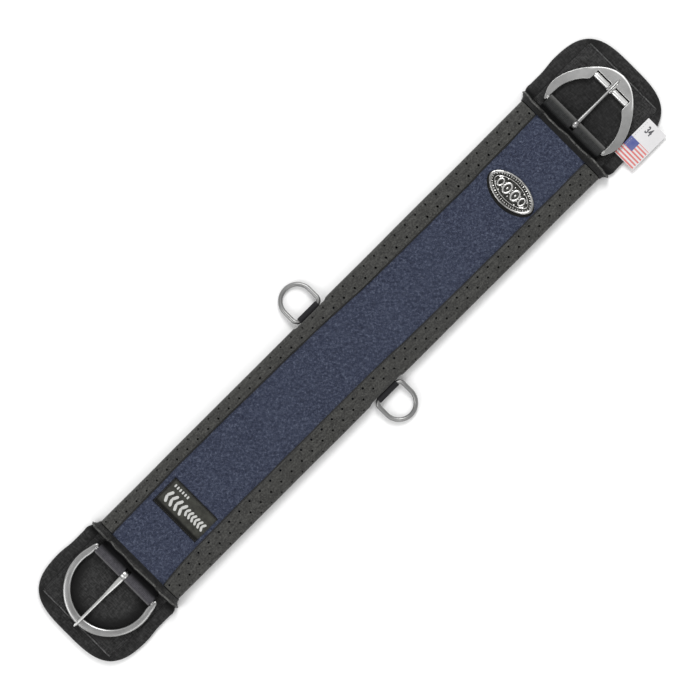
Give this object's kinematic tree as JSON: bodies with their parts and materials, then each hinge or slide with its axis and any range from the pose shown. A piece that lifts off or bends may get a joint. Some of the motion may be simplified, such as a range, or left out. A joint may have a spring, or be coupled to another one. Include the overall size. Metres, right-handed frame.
{
  "type": "saddle girth",
  "caption": "Padded western saddle girth: webbing in a foam and navy sleeve, a folded perforated liner, guarded buckle ends, one with rollers, and a dee ring at each edge.",
  "frame": {"origin": "middle of the footprint, on the surface that the liner's back lies on", "axes": "+X along the girth towards the roller buckle, +Y across it towards the front edge, +Z from the liner's back to the face"},
  "size_m": [0.895, 0.2036, 0.0179],
  "materials": {
    "neoprene": "matte, perforated",
    "foam": "matte closed cell",
    "webbing": "woven nylon",
    "thread": "bonded thread",
    "navy_loop_cloth": "brushed loop pile, flecked",
    "hook_tape": "moulded hooks",
    "antique_silver": "antiqued relief",
    "stainless_steel": "satin",
    "label_cloth": "woven damask",
    "tag_cloth": "printed tape",
    "black_cloth": "stretch knit",
    "binding_cloth": "knit binding"
  },
  "bodies": {
    "girth": {"liner": "neoprene", "foam_core": "foam", "load_web": "webbing", "loop_bartack_plain_end": "thread", "loop_bartack_roller_end": "thread", "navy_face": "navy_loop_cloth", "badge_rivet_front": "stainless_steel", "badge_rivet_rear": "stainless_steel", "hook_strip_front": "hook_tape", "hook_strip_rear": "hook_tape", "oval_badge": "antique_silver", "woven_label": "label_cloth", "neck_hem_plain_end": "black_cloth", "neck_hem_roller_end": "black_cloth", "guard_binding_plain_end": "binding_cloth", "guard_binding_roller_end": "binding_cloth", "guard_panel_plain_end": "black_cloth", "guard_panel_roller_end": "black_cloth", "guard_seam_plain_end": "thread", "guard_seam_roller_end": "thread", "size_tag": "tag_cloth", "dee_keeper_strap": "webbing"},
    "plain_buckle": {"plain_buckle_frame": "stainless_steel"},
    "plain_tongue": {"plain_buckle_tongue": "stainless_steel"},
    "roller_buckle": {"roller_buckle_frame": "stainless_steel", "roller_axle_pin": "stainless_steel"},
    "roller_tongue": {"roller_buckle_tongue": "stainless_steel"},
    "front_roller": {"roller_front": "stainless_steel"},
    "rear_roller": {"roller_rear": "stainless_steel"},
    "front_dee": {"dee_ring_front": "stainless_steel"},
    "rear_dee": {"dee_ring_rear": "stainless_steel"}
  },
  "joints": [
    {"name": "plain_buckle_lift", "type": "hinge", "parent": "girth", "child": "plain_buckle", "pos_m": [-0.355, 0, 0.0115], "axis": [0, 1, 0], "range_deg": [0, 80]},
    {"name": "plain_tongue_lift", "type": "hinge", "parent": "plain_buckle", "child": "plain_tongue", "pos_m": [-0.355, 0, 0.0115], "axis": [0, 1, 0], "range_deg": [0, 60]},
    {"name": "roller_buckle_lift", "type": "hinge", "parent": "girth", "child": "roller_buckle", "pos_m": [0.355, 0, 0.0115], "axis": [0, -1, 0], "range_deg": [0, 80]},
    {"name": "roller_tongue_lift", "type": "hinge", "parent": "roller_buckle", "child": "roller_tongue", "pos_m": [0.355, 0, 0.0115], "axis": [0, -1, 0], "range_deg": [0, 60]},
    {"name": "front_roller_spin", "type": "hinge", "parent": "roller_buckle", "child": "front_roller", "pos_m": [0.41098, 0.01415, 0.00994], "axis": [0, 1, 0], "continuous": true},
    {"name": "rear_roller_spin", "type": "hinge", "parent": "roller_buckle", "child": "rear_roller", "pos_m": [0.41098, -0.01415, 0.00994], "axis": [0, 1, 0], "continuous": true},
    {"name": "front_dee_swing", "type": "hinge", "parent": "girth", "child": "front_dee", "pos_m": [-0.003, 0.0624, 0.007], "axis": [1, 0, 0], "range_deg": [-80, 90]},
    {"name": "rear_dee_swing", "type": "hinge", "parent": "girth", "child": "rear_dee", "pos_m": [-0.003, -0.0624, 0.007], "axis": [-1, 0, 0], "range_deg": [-80, 90]}
  ]
}
